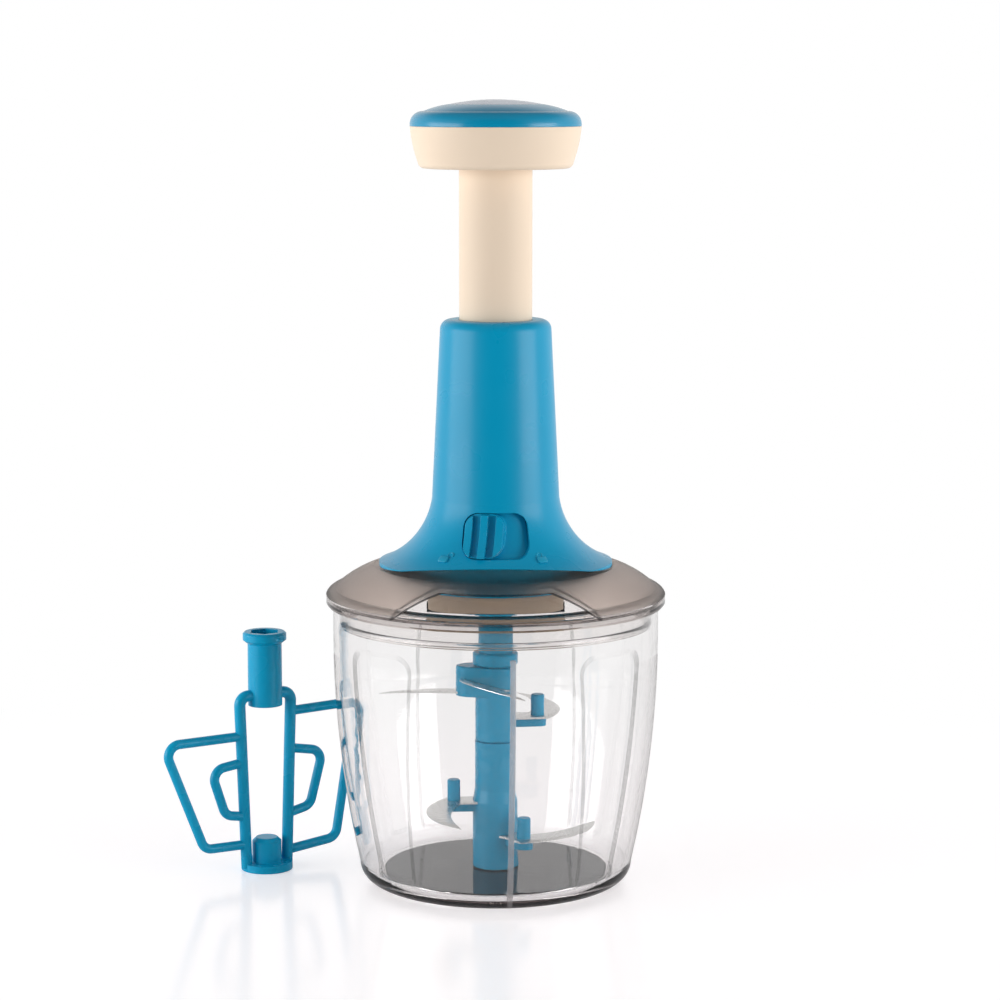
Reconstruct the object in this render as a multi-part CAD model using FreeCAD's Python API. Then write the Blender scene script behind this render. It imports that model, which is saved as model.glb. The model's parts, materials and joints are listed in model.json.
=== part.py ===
"""Push-down food chopper: clear bowl, smoke lid with drive tower, plunger, blade unit and beater.

Millimetres, +Z up. The origin is the centre of the bowl's anti-slip foot, on the chopper's axis.
The front, with the lock slider and the lid window, faces -Y. The plunger is modelled raised.
"""

import FreeCAD
import Part
import math
import os
from FreeCAD import Vector

os.makedirs("parts", exist_ok=True)

# ---------------------------------------------------------------- fits
AIR = 0.3            # gap between curved faces that move past each other
RUN = 0.08           # radial running fit of a shaft in its bearing
SEAT = 0.05          # radial gap between pieces fixed in one another
PAST = 1.0           # how far a cutting shape runs past the face it opens

# ---------------------------------------------------------------- bowl
bowl_h = 117.4       # rim height above the table
bowl_rim_r = 67.6    # outside, at the shoulder and above
bowl_shoulder_z = 104.0
bowl_belly_r = 64.2
bowl_belly_z = 50.0
bowl_heel_r = 57.0
bowl_heel_z = 8.5
bowl_foot_r = 50.5
bowl_foot_z = 0.6    # the pad stands proud of the foot by this much
bowl_wall = 2.4
bowl_floor_z = 5.2   # inside floor
panel_angle = 44.5   # four grip panels, each side of the front and back
panel_top_w = 35.0
panel_low_w = 20.0
panel_top_z = 105.5
panel_low_z = 9.0
panel_corner_r = 8.0
panel_depth = 0.8
panel_slope = 2.4    # width of the sloping border round a panel
panel_steps = 4      # sections of that slope
rib_angle = 6.0      # baffle rib inside the front wall
rib_w = 2.0
rib_proud = 1.5
pad_r = 47.0
pad_t = 2.2

# ---------------------------------------------------------------- blade pin and stems
pin_r = 2.5
pin_top_z = 26.0
pin_seat_z = 2.9
boss_r = 6.0
boss_h = 3.5
stem_gap = 0.5       # under the stem, above the floor
stem_foot_r = 9.6
stem_foot_h = 28.0
stem_taper_h = 5.0
stem_low_r = 8.7
stem_split_z = 59.2  # where the upper stem stands on the lower one
stem_up_r = 8.5
spigot_af = 9.0      # hexagon between the two stems
spigot_h = 5.5
hub_z = 78.5
hub_h = 12.3
hub_reach = 16.7     # the hub stands out on one side of the stem only
hub_end_r = 6.5
hub_round = 1.0
hub_angle = 176.0
tongue_af = 8.0      # hexagon that drives the blade unit
tongue_h = 12.0

# ---------------------------------------------------------------- blades and their arms
blade_t = 0.8
blade_bevel = 2.0
sickle_w = 10.6      # shank of a side blade
sickle_tip_r = 50.0
bottom_tip_r = 46.0
sickle_sweep = 70.0  # angle from the shank round to the tip
# a point on each edge, as shares of the tip's radius and of the sweep
sickle_outer = (0.70, 0.45)
sickle_inner = (0.64, 0.73)
hub_blade_w = 9.0
hub_blade_tip_r = 48.5
hub_blade_rise = 0.8   # above the hub's lower face
hub_blade_angle = 178.0
front_blade_rise = 2.6   # at the axis; the blade drops to the right and climbs to the front
front_blade_roll = 14.0
front_blade_pitch = 8.5
front_blade_right = 7.2
front_blade_left = 15.5
front_blade_tip = (12.4, 40.0)   # to the right and to the front
front_blade_belly = (-7.0, 30.0)
front_blade_hollow = (3.5, 24.0)
arm_w = 6.6
arm_t = 3.6
peg_r = 2.7
peg_h = 9.6
peg_at = 17.6
peg_rim = 1.0        # arm beyond the peg
upper_arm_z = 68.6   # level of each arm's top face
lower_arm_z = 33.0
bottom_arm_z = 19.6
side_blades = (
    ("upper_side_blade", upper_arm_z, 8.0, sickle_tip_r),
    ("lower_side_blade", lower_arm_z, 184.0, sickle_tip_r),
    ("bottom_blade", bottom_arm_z, 312.0, bottom_tip_r),
)

# ---------------------------------------------------------------- lid
lid_r = 70.4
lid_rise = 16.2      # seat on the bowl up to the deck under the tower
lid_wall = 2.2
lid_edge_h = 4.4     # height of the rounded rim
dome_top_r = 50.4
dome_bulge = 1.1
plug_depth = 7.9
plug_gap = 1.0       # plug to bowl wall, bridged by the gasket
plug_wall = 2.2
gasket_h = 2.0
gasket_drop = 6.1    # seat down to the gasket's middle
gasket_depth = 1.4

# ---------------------------------------------------------------- tower
tower_h = 101.8
tower_wall = 2.4
flange_r = 48.3
flange_t = 1.8
saddle_rise = 4.6    # the flange's edge arches up at the front and back, over a saddle on the lid
saddle_lip_r = 44.6  # top of the saddle at the front
flare_mid_r = 35.3
flare_mid_rise = 10.0
waist_r = 26.35
waist_rise = 28.2
tower_top_r = 22.9
shoulder_drop = 3.6
shoulder_in_r = 19.0
shoulder_bulge = 1.0
sleeve_r = 36.0
sleeve_wall = 2.4
sleeve_drop = 8.6
clamp_w = 4.6
clamp_h = 4.0

# ---------------------------------------------------------------- plunger and its guide
tube_r = 15.0
tube_wall = 3.0
stroke = 60.0
knob_gap = 1.6       # knob to tower when pressed home
bush_wall = 2.7
bush_h = 43.0
bush_flange_w = 2.2
bush_flange_t = 2.6
guide_wall = 2.2
stop_flange_w = 3.2
stop_flange_t = 3.0

# ---------------------------------------------------------------- knob
knob_r = 35.0
knob_low_r = 31.8
knob_low_h = 17.0    # height of the light lower body
knob_corner = 2.4
knob_wall = 2.4
cap_h = 10.8
cap_lip = 1.2        # straight edge of the cap above the joint
cap_shoulder_r = 29.5
cap_shoulder_drop = 4.7
inlay_r = 19.0
inlay_t = 1.4
inlay_dome = 2.2
cap_wall = 2.2
cap_skirt_h = 3.0
knob_flange_r = 22.0
knob_flange_t = 2.4
knob_screw_r = 1.3
knob_screw_count = 3
knob_screw_head_t = 1.6

# ---------------------------------------------------------------- twisted spindle and drive
spindle_lead = 40.0  # travel of the plunger for one turn
spindle_w = 9.0
spindle_t = 3.4
spindle_len = 98.0
twist_step = 20.0    # degrees between the sections of the twist
journal_r = 5.0
journal_flange_r = 7.0
journal_flange_t = 2.6
nut_h = 7.0
nut_lift = 28.0      # nut above the tube's lower end
nut_ledge = 1.5
retainer_h = 2.0
retainer_w = 1.6
spring_wire = 1.5
spring_r = 8.8
spring_turns = 9
drum_half_l = 28.2   # oblong block, long across the chopper
drum_half_w = 15.0
drum_h = 10.0
drum_flange_t = 1.6
drum_roof_t = 2.6
drum_spigot_h = 5.0
drum_wall = 2.4
seat_t = 1.2         # floor of the drum's spigot, under the spring and the spindle's flange
plate_inset = 1.2    # plate's edge inside the drum's
plate_t = 1.5
plate_tab_w = 4.0
plate_tab_t = 1.8
plate_tab_h = 2.8
plate_tab_proud = 0.4
screw_r = 1.4
screw_head_r = 2.6
screw_len = 6.5
screw_circle = 18.0
shaft_r = 7.2
shaft_gap = 0.3      # drive shaft under the plate
collar_r = 9.6
collar_h = 5.6
collar_gap = 0.4     # collar above the hub
stub_r = 3.2
stub_len = 16.0
cross_pin_r = 1.2
cross_pin_drop = 8.0

# ---------------------------------------------------------------- lock slider
lock_rise = 16.4     # centre of the slider above the deck
lock_half = 8.7      # half of the window's height, and of the thumb piece's width
lock_corner_r = 6.0
lock_swing = 18.6    # degrees from open to locked
lock_sunk = 0.5      # thumb piece's face between the ribs, under the tower's surface
shutter_t = 1.4      # plate behind the window that moves with the thumb piece
shutter_lap = 1.6    # how far the plate covers beyond the window
lock_rib_w = 3.1
lock_rib_h = 2.0
lock_rib_pitch = 6.3
tongue_w = 4.4
tongue_t = 4.8
groove_depth = 1.8
groove_gap = 0.4

# ---------------------------------------------------------------- beater
beater_x = -97.5
beater_y = 14.0
beater_yaw = 32.0
beater_h = 102.5
beater_tube_r = 7.2
beater_bore_r = 5.6
beater_bore_floor = 8.0   # solid end of the tube under the socket
beater_rim_r = 9.2
beater_rim_h = 3.4
beater_tube_z = 71.0
beater_bar_r = 2.0
beater_post_r = 2.4
beater_post_top = 12.2
beater_post_low = 9.6
beater_shoulder_z = 75.6
beater_ring_r = 10.9
beater_ring_t = 3.2
beater_stub_r = 6.2
beater_stub_h = 10.5
beater_bend = 5.0
beater_edge = 0.8    # chamfer at the rim; twice this under it and on the stub
# each loop: side, root heights, corner heights and reaches (top, bottom)
beater_loops = (
    (-1, (58.6, 11.6), (58.6, 12.0), (47.8, 29.4)),
    (-1, (47.2, 23.8), (45.4, 25.4), (26.0, 19.4)),
    (1, (51.0, 22.6), (48.0, 24.8), (27.4, 21.0)),
    (1, (67.0, 6.6), (67.6, 9.0), (43.6, 33.4)),
)

# ---------------------------------------------------------------- levels that follow
seat_z = bowl_h
deck_z = seat_z + lid_rise
tower_top_z = deck_z + tower_h
sleeve_z = deck_z - sleeve_drop
drum_z = sleeve_z - drum_h
plate_z = drum_z - plate_t
knob_z = tower_top_z + knob_gap + stroke
roof_z = tower_top_z - tower_wall
bush_z = roof_z - bush_h
tube_z = bush_z - stop_flange_t
bush_r = tube_r + RUN + bush_wall
tube_bore = tube_r - tube_wall
nut_z = tube_z + nut_lift
stem_z = bowl_floor_z + stem_gap
hub_top_z = hub_z + hub_h
arm_reach = peg_at + peg_r + peg_rim
shaft_z = hub_top_z + collar_gap
shaft_top_z = plate_z - shaft_gap
lock_z = deck_z + lock_rise
lock_azimuth = 270.0 - lock_swing / 2
shutter_half = lock_swing + math.degrees(math.asin((lock_half + shutter_lap) / waist_r))
sleeve_in_r = sleeve_r - sleeve_wall


# ---------------------------------------------------------------- helpers
def rz(point):
    """A profile point (radius, height) in the XZ plane."""
    return Vector(point[0], 0, point[1])


def outline(start, *steps):
    """Closed face in XZ. A step is an end point, or a (middle, end) pair for an arc."""
    edges = []
    here = start
    for step in steps:
        if isinstance(step[0], tuple):
            middle, end = step
            edges.append(Part.Arc(rz(here), rz(middle), rz(end)).toShape())
        else:
            end = step
            edges.append(Part.makeLine(rz(here), rz(end)))
        here = end
    edges.append(Part.makeLine(rz(here), rz(start)))
    return Part.Face(Part.Wire(edges))


def turned(start, *steps, angle=360.0):
    """Solid of revolution about Z."""
    return outline(start, *steps).revolve(Vector(0, 0, 0), Vector(0, 0, 1), angle)


def rod(radius, z0, z1, x=0.0, y=0.0):
    return Part.makeCylinder(radius, z1 - z0, Vector(x, y, z0))


def tube(inner, outer, z0, z1):
    return rod(outer, z0, z1).cut(rod(inner, z0 - 1, z1 + 1))


def hexagon(across_flats, z0, z1):
    corner = across_flats / math.sqrt(3)
    points = [Vector(corner * math.cos(math.radians(a)), corner * math.sin(math.radians(a)), z0)
              for a in range(0, 361, 60)]
    return Part.Face(Part.makePolygon(points)).extrude(Vector(0, 0, z1 - z0))


def bar(x0, x1, width, z0, z1):
    """Block along +X, centred on Y."""
    return Part.makeBox(x1 - x0, width, z1 - z0, Vector(x0, -width / 2, z0))


def spun(shape, angle):
    """A copy turned about Z."""
    copy = shape.copy()
    copy.rotate(Vector(0, 0, 0), Vector(0, 0, 1), angle)
    return copy


def moved(shape, x, y, z):
    copy = shape.copy()
    copy.translate(Vector(x, y, z))
    return copy


def arc_offset(a, b, c, inset):
    """The three points of an arc moved away from its centre by inset."""
    ax, ay, bx, by, cx, cy = a[0], a[1], b[0], b[1], c[0], c[1]
    d = 2 * (ax * (by - cy) + bx * (cy - ay) + cx * (ay - by))
    ux = ((ax**2 + ay**2) * (by - cy) + (bx**2 + by**2) * (cy - ay) + (cx**2 + cy**2) * (ay - by)) / d
    uy = ((ax**2 + ay**2) * (cx - bx) + (bx**2 + by**2) * (ax - cx) + (cx**2 + cy**2) * (bx - ax)) / d
    out = []
    for px, py in (a, b, c):
        reach = math.hypot(px - ux, py - uy)
        scale = (reach + inset) / reach
        out.append((ux + (px - ux) * scale, uy + (py - uy) * scale))
    return out


def between(a, b, bulge):
    """Middle point of an arc from a to b that bows away from the axis by bulge."""
    mx, my = (a[0] + b[0]) / 2, (a[1] + b[1]) / 2
    length = math.hypot(b[0] - a[0], b[1] - a[1])
    return (mx + (b[1] - a[1]) / length * bulge, my - (b[0] - a[0]) / length * bulge)


def crown(radius, z_edge, z_top):
    """Arc step from a rim up to the axis, square to the axis at the top."""
    rise = z_top - z_edge
    sphere = (radius**2 + rise**2) / (2 * rise)
    half = math.asin(radius / sphere) / 2
    middle = (sphere * math.sin(half), z_top - sphere * (1 - math.cos(half)))
    return (middle, (0, z_top))


def bent_rod(points, radius, bend):
    """Round bar along straight runs joined by tangent arcs."""
    edges = []
    here = points[0]
    for i in range(1, len(points) - 1):
        corner = points[i]
        back = (points[i - 1] - corner).normalize()
        on = (points[i + 1] - corner).normalize()
        half = math.acos(max(-1.0, min(1.0, back.dot(on)))) / 2
        setback = bend / math.tan(half)
        start = corner + back * setback
        end = corner + on * setback
        axis = (back + on).normalize()
        middle = corner + axis * (bend / math.sin(half) - bend)
        edges.append(Part.makeLine(here, start))
        edges.append(Part.Arc(start, middle, end).toShape())
        here = end
    edges.append(Part.makeLine(here, points[-1]))
    path = Part.Wire(edges)
    along = points[1] - points[0]
    profile = Part.Wire(Part.makeCircle(radius, points[0], along))
    return path.makePipeShell([profile], True, True)


def screw(radius, head_r, length):
    """Countersunk screw, head face down at z = 0, thread upwards."""
    head_t = head_r - radius
    return turned((0, 0), (head_r, 0), (radius, head_t), (radius, length - radius), (0, length))


def save(name, shape):
    shape = shape.removeSplitter()
    shape.exportStep("parts/%s.step" % name)


# ---------------------------------------------------------------- bowl
def bowl_form(inset, z_low):
    """The bowl's outside, or its inside when inset by the wall."""
    foot = (bowl_foot_r - inset, z_low)
    heel = (bowl_heel_r - inset, max(bowl_heel_z, z_low + 3.0))
    belly = (bowl_belly_r - inset, bowl_belly_z)
    rim = (bowl_rim_r - inset, bowl_shoulder_z)
    top = (bowl_rim_r - inset, seat_z + 1)
    return turned((0, z_low), foot, (between(foot, heel, 1.9), heel), (belly, rim), top, (0, seat_z + 1))


def grip_panel(margin):
    """Prism through the wall at the front, wide and round at the top, narrower below."""
    top, low, r = panel_top_w / 2 - margin, panel_low_w / 2 - margin, panel_corner_r - margin / 2
    high = panel_top_z - margin
    k = r * (1 - math.sqrt(0.5))
    lean = (top - low) / (high - panel_low_z)
    face = outline(
        (-low, panel_low_z + margin), (low, panel_low_z + margin),
        (top - lean * r, high - r),
        ((top - k, high - k), (top - r, high)),
        (r - top, high),
        ((k - top, high - k), (lean * r - top, high - r)))
    return face.extrude(Vector(0, -2 * bowl_rim_r, 0))


def bowl():
    body = bowl_form(0, bowl_foot_z)
    body = body.cut(rod(2 * bowl_rim_r, seat_z, seat_z + 5))
    solid = body
    body = body.cut(bowl_form(bowl_wall, bowl_floor_z))
    for i in range(panel_steps):
        skin = solid.cut(bowl_form(panel_depth * (i + 1) / panel_steps, -PAST))
        panel = grip_panel(panel_slope * i / panel_steps)
        for angle in (panel_angle, -panel_angle, 180 - panel_angle, 180 + panel_angle):
            body = body.cut(skin.common(spun(panel, angle)))
    rib = bar(bowl_foot_r / 2, 2 * bowl_rim_r, rib_w, bowl_floor_z, panel_top_z)
    rib = spun(rib, 270 + rib_angle).common(bowl_form(bowl_wall, bowl_floor_z - 1))
    rib = rib.cut(bowl_form(bowl_wall + rib_proud, bowl_floor_z - 2))
    boss = turned((0, bowl_floor_z - 1), (boss_r + 1, bowl_floor_z - 1), (boss_r, bowl_floor_z + boss_h),
                  (0, bowl_floor_z + boss_h))
    body = body.fuse([rib, boss])
    body = body.cut(rod(pad_r + SEAT, -1, pad_t))
    return body.cut(rod(pin_r + SEAT, pin_seat_z, bowl_floor_z + boss_h + 1))


def anti_slip_base():
    disc = rod(pad_r, 0, pad_t)
    edge = [e for e in disc.Edges if abs(e.BoundBox.ZMax) < 1e-6 and e.BoundBox.XLength > pad_r]
    return disc.makeFillet(min(0.6, pad_t / 3), edge)


def blade_pin():
    nose = pin_r / 3
    return turned((0, pin_seat_z), (pin_r, pin_seat_z), (pin_r, pin_top_z - nose),
                  (pin_r - nose, pin_top_z), (0, pin_top_z))


# ---------------------------------------------------------------- blade unit
def blade_plate(points, bends):
    """Plate in the XY plane through the points; bends gives a middle for the edges that are arcs."""
    edges = []
    for i, here in enumerate(points):
        a, b = Vector(*here), Vector(*points[(i + 1) % len(points)])
        edges.append(Part.Arc(a, Vector(*bends[i]), b).toShape() if i in bends else Part.makeLine(a, b))
    plate = Part.Face(Part.Wire(edges)).extrude(Vector(0, 0, blade_t))
    cutting = max((e for e in plate.Edges if e.BoundBox.ZMin > blade_t / 2), key=lambda e: e.Length)
    return plate.makeChamfer(blade_t * 0.7, blade_bevel, [cutting])


def polar(radius, degrees):
    return (radius * math.cos(math.radians(degrees)), radius * math.sin(math.radians(degrees)))


def sickle(tip_r):
    """Side blade: shank along +X over its arm, then a sweep to the tip."""
    half = sickle_w / 2
    root = stem_low_r * 0.6
    outer = polar(tip_r * sickle_outer[0], sickle_sweep * sickle_outer[1])
    inner = polar(tip_r * sickle_inner[0], sickle_sweep * sickle_inner[1])
    points = [(root, half), (root, -half), (arm_reach, -half), polar(tip_r, sickle_sweep),
              (peg_at - peg_r, half)]
    return blade_plate(points, {2: outer, 3: inner})


def side_blade(level, angle, tip_r):
    """Blade on an arm's top face, with a hole for the arm's peg."""
    plate = sickle(tip_r).cut(rod(peg_r + SEAT, -PAST, blade_t + PAST, peg_at))
    return spun(moved(plate, 0, 0, level), angle)


def hub_blade():
    """Narrow blade along +X from inside the hub, its convex edge towards -Y."""
    half = hub_blade_w / 2
    root = tongue_af
    span = hub_blade_tip_r - root
    points = [(root, half), (root, -half), (hub_blade_tip_r, half)]
    plate = blade_plate(points, {1: (root + span * 0.55, -half * 1.05), 2: (root + span / 2, half * 0.45)})
    return spun(moved(plate, 0, 0, hub_z + hub_blade_rise), hub_blade_angle)


def front_blade():
    """Blade held in a slanting slot across the hub's front, ahead of the drive tongue."""
    back = -tongue_af / 2 - 2 * AIR
    points = [(-front_blade_left, back), (front_blade_right, back), flip(front_blade_tip),
              (-front_blade_left, -stem_up_r)]
    plate = blade_plate(points, {1: flip(front_blade_hollow), 2: flip(front_blade_belly)})
    plate.rotate(Vector(0, 0, 0), Vector(0, 1, 0), front_blade_roll)
    plate.rotate(Vector(0, 0, 0), Vector(1, 0, 0), -front_blade_pitch)
    return moved(plate, 0, 0, hub_z + front_blade_rise)


def flip(point):
    return (point[0], -point[1])


def blade_arm(level, angle):
    """Arm under a blade, with a round end and an upright peg through the blade."""
    arm = bar(0, arm_reach - arm_w / 2, arm_w, level - arm_t, level)
    tip = rod(arm_w / 2, level - arm_t, level, arm_reach - arm_w / 2)
    peg = turned((0, level - arm_t), (peg_r, level - arm_t), (peg_r, level + peg_h - 0.5),
                 (peg_r - 0.5, level + peg_h), (0, level + peg_h))
    return spun(arm.fuse([tip, moved(peg, peg_at, 0, 0)]), angle)


def lower_blade_stem():
    neck = stem_z + stem_foot_h
    stem = turned((0, stem_z), (stem_foot_r, stem_z), (stem_foot_r, neck), (stem_low_r, neck + stem_taper_h),
                  (stem_low_r, stem_split_z), (0, stem_split_z))
    spigot = hexagon(spigot_af, stem_split_z - 1, stem_split_z + spigot_h)
    arms = [blade_arm(level, angle) for _, level, angle, _ in side_blades[1:]]
    stem = stem.fuse([spigot] + arms)
    stem = stem.cut([rod(pin_r + RUN, stem_z - 1, pin_top_z),
                     rod(boss_r + 1.2, stem_z - 1, bowl_floor_z + boss_h + stem_gap)])
    for _, level, angle, tip_r in side_blades[1:]:
        stem = stem.cut(side_blade(level, angle, tip_r))
    return stem


def hub_form():
    """Egg-shaped block: round the stem at one end, standing out along +X at the other."""
    reach = hub_reach - hub_end_r
    lean = math.acos((stem_up_r - hub_end_r) / reach)
    near = Vector(stem_up_r * math.cos(lean), stem_up_r * math.sin(lean), hub_z)
    far = Vector(reach + hub_end_r * math.cos(lean), hub_end_r * math.sin(lean), hub_z)
    edges = [
        Part.makeLine(near, far),
        Part.Arc(far, Vector(hub_reach, 0, hub_z), Vector(far.x, -far.y, hub_z)).toShape(),
        Part.makeLine(Vector(far.x, -far.y, hub_z), Vector(near.x, -near.y, hub_z)),
        Part.Arc(Vector(near.x, -near.y, hub_z), Vector(-stem_up_r, 0, hub_z), near).toShape(),
    ]
    block = Part.Face(Part.Wire(edges)).extrude(Vector(0, 0, hub_h))
    top = [e for e in block.Edges if e.BoundBox.ZMin > hub_top_z - blade_t]
    return block.makeFillet(hub_round, top)


def upper_blade_stem():
    """Stem with the wide hub that holds the two top blades."""
    name, level, angle, tip_r = side_blades[0]
    stem = turned((0, stem_split_z), (stem_up_r - 0.8, stem_split_z), (stem_up_r, stem_split_z + 0.8),
                  (stem_up_r, hub_z + 1), (0, hub_z + 1))
    hub = spun(hub_form(), hub_angle)
    stem = stem.fuse([hub, blade_arm(level, angle)])
    stem = stem.cut([hexagon(tongue_af + 2 * AIR, shaft_z - tongue_h - 1, hub_top_z + 1),
                     hexagon(spigot_af + 2 * SEAT, stem_split_z - 1, stem_split_z + spigot_h + AIR)])
    return stem.cut([side_blade(level, angle, tip_r), hub_blade(), front_blade()])


# ---------------------------------------------------------------- lid
def dome_form(inset):
    """The lid's outside, from its seat to the deck, or its inside when inset by the wall."""
    top = (dome_top_r - inset, deck_z - inset)
    edge = (lid_r - inset, seat_z + lid_edge_h - inset / 2)
    shoulder = (lid_r - 3.6 - inset, seat_z + lid_edge_h + 2.6 - inset)
    rim = (lid_r - inset, seat_z + 1.0)
    return turned((0, seat_z), (lid_r - 0.8 - inset, seat_z), rim, edge,
                  (between(edge, shoulder, 0.6), shoulder), (between(shoulder, top, dome_bulge), top),
                  (0, deck_z - inset))


def saddle_form(gap):
    """All that lies under the flange's arched edge: a wide cylinder along Y, lowered by the gap."""
    radius = (flange_r**2 + saddle_rise**2) / (2 * saddle_rise)
    axis_z = deck_z + saddle_rise - radius - gap
    form = Part.makeCylinder(radius, 4 * flange_r, Vector(0, -2 * flange_r, axis_z), Vector(0, 1, 0))
    return form.common(rod(2 * flange_r, deck_z - flange_t, deck_z + 2 * saddle_rise))


def lid_dome():
    body = dome_form(0)
    saddle = turned((0, deck_z - flange_t), (dome_top_r - flange_t / 2, deck_z - flange_t),
                    (dome_top_r - flange_t / 2, deck_z), (saddle_lip_r, deck_z + saddle_rise),
                    (0, deck_z + saddle_rise))
    body = body.fuse(saddle.common(saddle_form(SEAT)))
    hollow = dome_form(lid_wall).cut(rod(lid_r, seat_z - 1, seat_z + lid_edge_h / 2))
    plug_r = bowl_rim_r - bowl_wall - plug_gap
    plug = tube(plug_r - plug_wall, plug_r, seat_z - plug_depth, seat_z + lid_edge_h / 2 + 0.5)
    body = body.cut([hollow, rod(plug_r - plug_wall, seat_z - 1, seat_z + lid_edge_h)])
    body = body.fuse(plug)
    collar = tube(sleeve_r + SEAT, sleeve_r + clamp_w, deck_z - lid_wall - 1.2, deck_z - 0.5)
    body = body.fuse(collar)
    groove = tube(plug_r - gasket_depth, plug_r + 1, seat_z - gasket_drop - gasket_h / 2,
                  seat_z - gasket_drop + gasket_h / 2)
    return body.cut([groove, rod(sleeve_r + SEAT, seat_z, deck_z + 2 * saddle_rise)])


def lid_gasket():
    """Seal with a rounded lip towards the bowl's wall."""
    plug_r = bowl_rim_r - bowl_wall - plug_gap
    z0 = seat_z - gasket_drop - gasket_h / 2
    z1 = z0 + gasket_h
    inner = plug_r - gasket_depth + SEAT
    lip = bowl_rim_r - bowl_wall - AIR
    return turned((inner, z0), (plug_r, z0), ((lip, (z0 + z1) / 2), (plug_r, z1)), (inner, z1))


# ---------------------------------------------------------------- tower
def tower_form(inset, z_low):
    """The tower's outside with its flare, or an inner form when inset."""
    flange = (flange_r, deck_z + flange_t)
    middle = (flare_mid_r, deck_z + flare_mid_rise)
    waist = (waist_r, deck_z + waist_rise)
    flange, middle, waist = arc_offset(flange, middle, waist, inset)
    shoulder = (tower_top_r - inset, tower_top_z - shoulder_drop - inset)
    brow = (shoulder_in_r - inset, tower_top_z - inset)
    return turned((0, z_low), (flange[0], z_low), flange, (middle, waist), shoulder,
                  (between(shoulder, brow, shoulder_bulge), brow), (0, tower_top_z - inset))


def lock_recess():
    """The thumb piece's outline swept about the axis, as deep as the tower."""
    ends = [spun(lock_prism(0), angle) for angle in (lock_azimuth, lock_azimuth + lock_swing)]
    low = lock_z - lock_half
    high = lock_z + lock_half
    sector = turned((0, low), (flange_r, low), (flange_r, high), (0, high), angle=lock_swing)
    return spun(sector, lock_azimuth).fuse(ends)


def lock_prism(margin):
    """Square bar with round corners along +X at the window's height."""
    half = lock_half - margin
    block = Part.makeBox(flange_r, 2 * half, 2 * half, Vector(0, -half, lock_z - half))
    return block.makeFillet(lock_corner_r - margin, [e for e in block.Edges if e.BoundBox.XLength > half])


def tower():
    body = tower_form(0, deck_z)
    body = body.fuse(rod(sleeve_r, sleeve_z, deck_z + 2))
    hollow = tower_form(tower_wall, sleeve_z - 1).common(rod(sleeve_in_r, sleeve_z - 1, roof_z))
    guide = tube(bush_r + SEAT, bush_r + SEAT + guide_wall, bush_z + bush_flange_t, roof_z + 0.5)
    body = body.cut([hollow, rod(bush_r + SEAT, bush_z, roof_z)]).fuse(guide)
    body = body.cut(rod(tube_r + AIR, roof_z - 1, tower_top_z + 1))
    chamber = behind_window(lock_half + shutter_lap + AIR, shutter_half + lock_swing / 2 + shutter_lap, 0)
    chamber = spun(chamber, lock_azimuth + lock_swing / 2)
    window = lock_recess().cut(tower_form(tower_wall + shutter_t, sleeve_z))
    arch = saddle_form(0).cut(rod(sleeve_r, sleeve_z, tower_top_z))
    return body.cut([chamber, window, arch])


def behind_window(half_h, half_angle, gap):
    """Sector inside the tower's wall at the window's height, centred on +X, with air in front of it."""
    low = lock_z - half_h
    high = lock_z + half_h
    sector = turned((0, low), (flange_r, low), (flange_r, high), (0, high), angle=2 * half_angle)
    return tower_form(tower_wall + gap, sleeve_z).common(spun(sector, -half_angle))


def clamp_ring():
    """Threaded ring that holds the lid against the tower's flange."""
    top = deck_z - lid_wall - 1.2
    body = tube(sleeve_r + SEAT, sleeve_r + clamp_w, top - clamp_h, top)
    for angle in range(0, 360, 60):
        notch = bar(sleeve_r + clamp_w - 1.2, sleeve_r + clamp_w + 2, 5, top - clamp_h - 1, top - 1)
        body = body.cut(spun(notch, angle))
    return body


def guide_bush():
    body = tube(tube_r + RUN, bush_r, bush_z, roof_z)
    return body.fuse(tube(tube_r + RUN, bush_r + bush_flange_w, bush_z, bush_z + bush_flange_t))


def oblong(half_l, half_w, z0, z1):
    """Block with round ends, long along X."""
    centre = half_l - half_w
    ends = [rod(half_w, z0, z1, -centre), rod(half_w, z0, z1, centre)]
    return bar(-centre, centre, 2 * half_w, z0, z1).fuse(ends).removeSplitter()


def at_both_ends(shape):
    """The shape and its copy on the far side of the axis."""
    return shape.fuse(spun(shape, 180))


def drive_housing():
    """Oblong drum that closes the tower from below and carries the spindle's bearing."""
    floor = sleeve_z
    fit_r = sleeve_in_r - SEAT
    body = oblong(drum_half_l, drum_half_w, drum_z, floor)
    hollow = oblong(drum_half_l - drum_wall, drum_half_w - drum_wall, drum_z - PAST, floor - drum_roof_t)
    posts = [rod(bearing_r() + drum_wall, drum_z, floor),
             at_both_ends(oblong_post(screw_r + drum_wall, drum_half_l - drum_wall / 2))]
    body = body.cut(hollow).fuse(posts)
    spigot = tube(fit_r - drum_wall, fit_r, floor, floor + drum_spigot_h)
    flange = rod(sleeve_r, floor - drum_flange_t, floor)
    seat = rod(fit_r, floor - seat_t / 2, floor + seat_t)
    body = body.fuse([flange, seat, spigot])
    holes = at_both_ends(rod(screw_r, drum_z - PAST, drum_z + screw_len, screw_circle))
    return body.cut([rod(bearing_r() + SEAT, drum_z - PAST, floor + drum_wall), plate_tabs(SEAT), holes])


def oblong_post(radius, reach):
    """Screw boss inside the drum, joined to its end wall."""
    return rod(radius, drum_z, sleeve_z - 0.5, screw_circle).fuse(
        bar(screw_circle, reach, 2 * radius, drum_z, sleeve_z - 0.5))


def bearing_r():
    return journal_r + RUN + 1.8


def spindle_bush():
    """Plain bearing for the spindle, pressed into the drum from above."""
    return tube(journal_r + RUN, bearing_r(), plate_z, sleeve_z + seat_t)


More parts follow.
